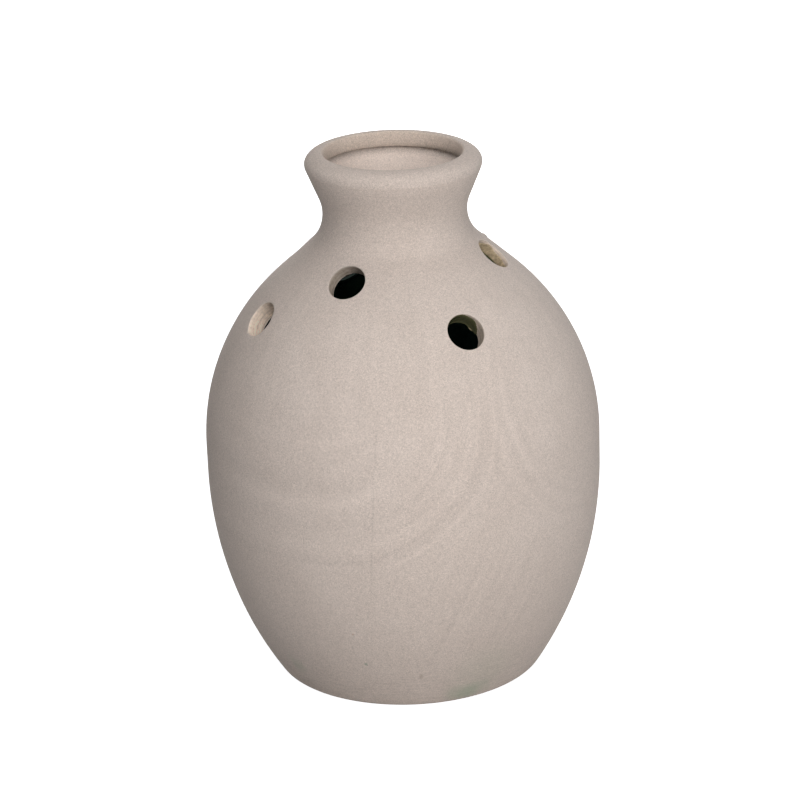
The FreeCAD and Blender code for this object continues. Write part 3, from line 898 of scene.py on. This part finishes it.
turning = turningTree("turnedAndPierced")
bevelledCutter = plugObject("bevelledCutter", flaredRows(True))
clayPoints, clayOutside = clayOutline()
heights = np.array([point[1] for point in clayPoints])
onOutside = (np.arange(len(clayPoints)) < clayOutside).astype(float)


def weigh(spans):
    return onOutside * ramp(heights, *spans[0]) * ramp(heights, *spans[1])


clayProfile = outlineObject(
    "clayOutline", clayPoints, leanWeight=ramp(heights, *clay.leanHeights),
    seamWeight=weigh(clay.seamHeights), unevenWeight=weigh(clay.unevenHeights))
shell = turnPiece("vase_shell", clayProfile, {
    "Columns": clay.columns, "Seam azimuth": radians(clay.seamAzimuth),
    "Seam crowding": clay.seamCrowding, "Seam height": clay.seamHeight * mm,
    "Seam width": clay.seamWidth * mm, "Unevenness": clay.unevenness * mm,
    "Unevenness scale": clay.unevenScale, "Seed": clay.seed,
    "Lean to right": clay.lipLean[0], "Lean to back": clay.lipLean[1],
    "Hole layout": holeLayoutObject("holeLayout", 1.0), "Bevelled cutter": bevelledCutter,
    "Hole cutter": plugObject("holeCutter", flaredRows(False)),
    "Inner burr": plugObject("innerBurr", burrRows()), "Clay lump": clayLumpObject(), "Finish": bisque})
print("shell", len(shell.data.vertices), "points", len(shell.data.polygons), "faces")


# marks on the shell that the clay material reads, in millimetres

clayMarks = dict(
    nearHole=2, nearDepths=(-0.8, 9), rimOut=0.3, rimWidth=0.35, rimDepth=1,
    noBurrEnd=20, throatWall=0.6, throatFoot=(204, 211), throatTop=(1, 4),
    lipFace=(2.4, 3.2), lipPale=0.08, grooveBelow=0.9, grooveWidth=1.6, grooveReach=2,
    # from front to right, as a share of the radius: there the painted shade in the groove is wider and
    # darker
    rightSpan=(0.1, 0.8), rightWider=1.2, leftDust=0.5,
)


def markShell(mesh):
    m = Named(**clayMarks)
    radius, soft = stem.radius, stem.softEdge
    places = pointsOf(mesh)
    count = len(places)
    marks = {"boreMask": np.zeros(count), "boreDepth": np.zeros(count), "rimEdge": np.zeros(count),
             "boreLightAndShade": np.ones(count), "burrEnd": np.full(count, float(stem.fullBurr))}
    for hole in holes:
        local = (places - np.array(hole.place)) @ np.array(leaningOut(hole.azimuth, hole.tilt))
        sag = 0.5 * (local[:, 0] ** 2 * hole.alongBend + local[:, 1] ** 2 * hole.acrossBend)
        deep = (-local[:, 2] - sag) / mm
        out = np.hypot(local[:, 0], local[:, 1]) / mm - radius
        near = (out < m.nearHole) & (deep > m.nearDepths[0]) & (deep < m.nearDepths[1])
        wall = near & (out < soft)
        marks["boreMask"][wall] = np.maximum(marks["boreMask"], 1 - np.clip(out / soft, 0, 1))[wall]
        marks["boreDepth"][wall] = deep[wall]
        tone, palest, by = hole.tone
        # painted light and shade on the wall of this hole
        turn = np.arctan2(local[:, 1], local[:, 0]) - radians(palest)
        marks["boreLightAndShade"][near] = (tone * (1 + by * np.cos(turn)))[near]
        marks["burrEnd"][near] = hole.burrDepth if hole.burred else m.noBurrEnd
        rim = bell(out, m.rimOut, m.rimWidth) * (deep < m.rimDepth)
        marks["rimEdge"][near] = np.maximum(marks["rimEdge"], rim)[near]
    # the inside of the neck, up to the groove under the lip, and the inner face of the lip, which painted
    # light brightens
    heights = places[:, 2] / mm
    out = np.hypot(places[:, 0], places[:, 1]) / mm
    neck, lip, under = form.neckCentre, form.lipCentre[0], form.lipUnder
    inside = np.hypot(out - neck[0], heights - neck[1]) > form.innerNeck - m.throatWall
    throatTop, lipFace = (under - drop for drop in m.throatTop), (lip - drop for drop in m.lipFace)
    throat = inside * (out < neck[0]) * ramp(heights, *throatTop) * ramp(heights, *m.throatFoot)
    marks["lipInside"] = (heights > under) * ramp(out, *lipFace)
    # painted light inside the neck and on the inner face of the lip
    marks["throat"] = throat + m.lipPale * marks["lipInside"]
    # painted shade in the groove under the lip, darkest and widest at the right
    right = ramp(places[:, 0] / mm / np.maximum(out, 1), *m.rightSpan)
    groove = bell(heights, under - m.grooveBelow, m.grooveWidth + m.rightWider * right)
    groove *= (out < lip + m.grooveReach) * (m.leftDust + (1 - m.leftDust) * right)
    marks["groove"] = groove
    for label, values in marks.items():
        mark(mesh, label, values)


markShell(shell.data)
smoothFaces(shell.data)


# glaze lining, and the skins of glaze that ran out onto the walls of some stem holes

glazeLining = dict(
    columns=240, unevenness=0.5, unevenScale=30.0, wavyEdge=9, seed=8.0,
    edgeRows=14, edgeMiddle=2, evenRows=8, cutWider=0.5, flushBy=0.05,
    # thinness under the top edge and round the holes, and how wide those bands are
    edgeThin=0.75, edgeSpan=(-6, 2), holeThin=0.35, holeBand=1.1, holeReach=14,
    # hole number, glazed span in degrees round the hole (0 points down the wall), depth where it starts,
    # thinness there, and how much of it is left at the inner end
    runs=((1, 96, 268, 0.4, 0.36, 0.9), (5, -45, 212, 1.1, 0.95, 0.05),
        (2, 200, 330, 3, 0.55, 0.5), (7, 30, 200, 2.4, 0.7, 0.5)),
    runSides=96, runSteps=22, runThickness=0.32, runTop=0.25, runSunk=0.14, runBack=0.3,
    runEdge=0.9, beadHeight=0.25, beadWidth=0.7, thinDepths=(6.2, 4.6),
    # the run's wavy upper edge as size, waves and shift, and how fast the edge drops at its two ends
    runWaves=((0.5, 3, 1), (0.25, 7, 2)), runCloses=6.5, runShort=0.1, edgeFilm=0.1,
    # the drip, with the painted glint at its end
    dripHole=1, dripAngle=120, dripSpread=15, dripLength=1.3, dripBead=1.35, dripRow=0.5,
)
lining = Named(**glazeLining)
glazePoints, glazeBack = glazeOutline()
rows = np.arange(len(glazePoints))
fromEdge = np.abs(rows - (glazeBack + lining.edgeMiddle))
glazeProfile = outlineObject(
    "glazeOutline", glazePoints, unevenWeight=(rows > glazeBack + lining.evenRows).astype(float),
    edgeWeight=ramp(fromEdge, lining.edgeRows, 0))
glazeCut = stem.radius + lining.cutWider
glazeCutRows = [(0, -stem.reachIn), (glazeCut, -stem.reachIn),
                (glazeCut, stem.cutterHead), (0, stem.cutterHead)]
noLump = helperObject("noLump", [], [], [])
glaze = turnPiece("glaze_lining", glazeProfile, {
    "Columns": lining.columns, "Seam width": 1 * mm, "Unevenness": lining.unevenness * mm,
    "Unevenness scale": lining.unevenScale, "Wavy edge": lining.wavyEdge * mm,
    "Seed": lining.seed, "Bevelled cutter": bevelledCutter, "Inner burr": noLump, "Clay lump": noLump,
    "Hole layout": holeLayoutObject("glazeLayout", (stem.radius - lining.flushBy) / glazeCut),
    "Hole cutter": plugObject("glazeCutter", glazeCutRows), "Finish": greenGlaze})
print("glaze", len(glaze.data.vertices), "points")


# a ring of glaze on a hole's wall: it stands proud where the glaze ran, and is sunk in the clay elsewhere
def glazeRun(number, first, last, start, thinness, left):
    g, hole, radius = lining, holes[number], stem.radius
    around, shallow = g.runSides, g.runTop
    swing = leaningOut(hole.azimuth, hole.tilt)
    verts, thin = [], []

    def addPoint(angle, out, depth, film):
        x, y = onCircle((0, 0), out, angle)
        sag = 0.5 * (x * x * hole.alongBend + y * y * hole.acrossBend) * mm
        verts.append(tuple(hole.place + swing @ (Vector((x, y, -depth - sag)) * mm)))
        thin.append(film)

    for i in range(around):
        a = 2 * pi * i / around
        degrees = math.degrees(a)
        off = abs((degrees - (first + last) / 2 + 180) % 360 - 180) / ((last - first) / 2)
        edge = start + sum(by * sin(waves * a + shift * number) for by, waves, shift in g.runWaves)
        edge += g.runCloses * off ** 4
        # one run hangs a drip from the inner edge, with a painted glint at its end
        drip = bell(degrees, g.dripAngle, g.dripSpread) if number == g.dripHole else 0
        deep = hole.burrDepth - g.runShort + g.dripLength * drip
        for j in range(g.runSteps + 1):
            depth = shallow + (deep - shallow) * j / g.runSteps
            full = ramp(depth, edge, edge + g.runEdge)
            full = full * full * (3 - 2 * full)
            proud = full * (g.runThickness + g.runSunk) - g.runSunk
            proud += g.beadHeight * full * bell(depth, deep, g.beadWidth)
            film = thinness * (left + (1 - left) * ramp(depth, *g.thinDepths)) + g.edgeFilm * (1 - full)
            # a painted glint at the drip's inner end
            bead = g.dripBead * drip ** 3 * bell(depth, deep, g.dripRow)
            addPoint(a, radius - proud, depth, max(film, bead))
        for depth in (deep, shallow):
            addPoint(a, radius + g.runBack, depth, thinness)
    points = len(verts) // around
    rings = [range(i * points, (i + 1) * points) for i in range(around)]
    return verts, ringFaces(rings + rings[:1], downwards=True), thin


# the lining and the runs become one mesh, with thinness and dullness marked on its points
def addRuns(piece):
    g, old = lining, piece.data
    places = pointsOf(old)
    edgeTop = form.neckCentre[1] - form.glazeDrop
    thin = g.edgeThin * ramp(places[:, 2] / mm, *(edgeTop + by for by in g.edgeSpan))
    dull = np.zeros(len(places))
    for hole in holes:
        away = places - np.array(hole.place)
        deep = away @ np.array(hole.axis)
        out = np.sqrt(np.maximum((away ** 2).sum(axis=1) - deep ** 2, 0)) / mm
        edge = bell(out, stem.radius, g.holeBand) * (np.abs(deep) < g.holeReach * mm)
        if hole.burred:
            thin = np.maximum(thin, g.holeThin * edge)
        else:
            dull = np.maximum(dull, edge)
    verts = [tuple(place) for place in places]
    faces = [tuple(face.vertices) for face in old.polygons]
    thin = list(thin)
    for run in g.runs:
        runVerts, runFaces, runThin = glazeRun(*run)
        faces += [tuple(corner + len(verts) for corner in face) for face in runFaces]
        verts += runVerts
        thin += runThin
    mesh = bpy.data.meshes.new(old.name)
    mesh.from_pydata(verts, [], faces)
    mark(mesh, "thinness", thin)
    mark(mesh, "dullness", np.pad(dull, (0, len(verts) - len(dull))))
    mesh.materials.append(greenGlaze)
    smoothFaces(mesh)
    piece.data = mesh
    bpy.data.meshes.remove(old)


addRuns(glaze)
print("glaze with runs", len(glaze.data.vertices), "points", len(glaze.data.polygons), "faces")
for helper in helpers:
    bpy.data.objects.remove(helper)

# the pieces stand for the CAD nodes
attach(shell, "root")
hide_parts("foot_base", "belly_wall", "shoulder_wall", "neck_collar")
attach(glaze, "root")
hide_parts("interior_glaze")


# floor, light and camera, in metres

studioLook = dict(
    floorSize=8, floorDrop=5e-5, floorShade=0.42, floorPaper=0.75, floorGlow=0.89,
    glowSpan=(0.5, 1.3), worldColour=(0.86, 0.92, 1, 1), worldStrength=0.02,
    lampTarget=(0, 0, 0.12), lampDistance=1.6,
    # azimuth, elevation, size, watts, colour
    lamps=dict(keyLamp=(-60, 15, 1, 10, (1, 0.985, 0.98)),
        frontLamp=(-90, 30, 1, 10.4, (1, 0.985, 0.98)),
        fillLamp=(-120, 40, 1, 2.9, (1, 0.98, 0.98)),
        topLamp=(90, 75, 1, 5.5, (1, 1, 1)),
        edgeLamp=(20, 10, 1, 4, (0.82, 0.92, 1)),
        leftLamp=(180, 30, 1, 1.5, (0.80, 0.90, 0.98)),
        backLamp=(90, 14, 0.8, 8, (1, 0.985, 0.98))),
    cameraTarget=(0, 0, 0.11775), cameraDistance=1.4195, cameraElevation=20.3,
    cameraRoll=-2.06, sensor=36, lens=135.62, shift=(-0.003135, 0.02796), clip=(0.05, 50),
    cameraAzimuth=-90,
)
studio = Named(**studioLook)


def polar(azimuth, elevation, distance, centre):
    out, up = onCircle((0, 0), distance, radians(elevation))
    x, y = onCircle((0, 0), out, radians(azimuth))
    return Vector(centre) + Vector((x, y, up))


def grey(level):
    return (level, level, level, 1)


def addLamp(name):
    azimuth, elevation, size, watts, colour = studio.lamps[name]
    light = bpy.data.lights.new(name, "AREA")
    light.shape = "DISK"
    light.size = size
    light.energy = watts
    light.color = colour
    lamp = linked(name, light)
    target = studio.lampTarget
    lamp.location = polar(azimuth, elevation, studio.lampDistance, target)
    lamp.rotation_euler = (lamp.location - Vector(target)).to_track_quat("Z", "Y").to_euler()


# one shader lights the vase, and another is what the camera and reflections see
def seenApart(n, output, lighting, seen):
    path = n.add("ShaderNodeLightPath").outputs
    direct = n.maths("MAXIMUM", path["Is Camera Ray"],
                     n.maths("MAXIMUM", path["Is Glossy Ray"], path["Is Transmission Ray"]))
    whole = n.add("ShaderNodeMixShader", {0: direct, 1: lighting.outputs[0], 2: seen.outputs[0]})
    n.add(output, {"Surface": whole.outputs[0]})


def addFloor():
    half, low = studio.floorSize / 2, -studio.floorDrop
    mesh = bpy.data.meshes.new("floor")
    mesh.from_pydata([(-half, -half, low), (half, -half, low), (half, half, low), (-half, half, low)],
                     [], [(0, 1, 2, 3)])
    made, n = emptyTree(bpy.data.materials, "pale_floor")
    matt = n.add("ShaderNodeBsdfDiffuse", {"Color": grey(studio.floorShade)})
    paper = n.add("ShaderNodeBsdfDiffuse", {"Color": grey(studio.floorPaper)})
    # beyond the vase and its shadow the paper fades up to full white
    away = n.vectors("LENGTH", n.add("ShaderNodeTexCoord").outputs["Object"])
    glow = n.between(away, *studio.glowSpan, studio.floorGlow, 1.0)
    white = n.add("ShaderNodeEmission", {"Color": grey(1), "Strength": glow})
    seen = n.add("ShaderNodeAddShader", {0: paper.outputs[0], 1: white.outputs[0]})
    seenApart(n, "ShaderNodeOutputMaterial", matt, seen)
    mesh.materials.append(made)
    floor = linked("floor", mesh)


def addWorld():
    scene.world, n = emptyTree(bpy.data.worlds, "studio")
    soft = n.add("ShaderNodeBackground", {"Color": studio.worldColour, "Strength": studio.worldStrength})
    white = n.add("ShaderNodeBackground", {"Color": grey(1), "Strength": 1.0})
    seenApart(n, "ShaderNodeOutputWorld", soft, white)


def addCamera():
    data = bpy.data.cameras.new("camera")
    data.sensor_width = studio.sensor
    data.lens = studio.lens
    data.shift_x, data.shift_y = studio.shift
    data.clip_start, data.clip_end = studio.clip
    camera = linked("camera", data)
    target = studio.cameraTarget
    camera.location = polar(studio.cameraAzimuth, studio.cameraElevation, studio.cameraDistance, target)
    look = (Vector(target) - camera.location).to_track_quat("-Z", "Y").to_matrix()
    roll = Matrix.Rotation(radians(studio.cameraRoll), 3, "Z")
    camera.rotation_euler = (look @ roll).to_euler()
    scene.camera = camera


addFloor()
addWorld()
for lampName in studio.lamps:
    addLamp(lampName)
addCamera()
scene.view_settings.view_transform = "Standard"
print("floor, light and camera set")
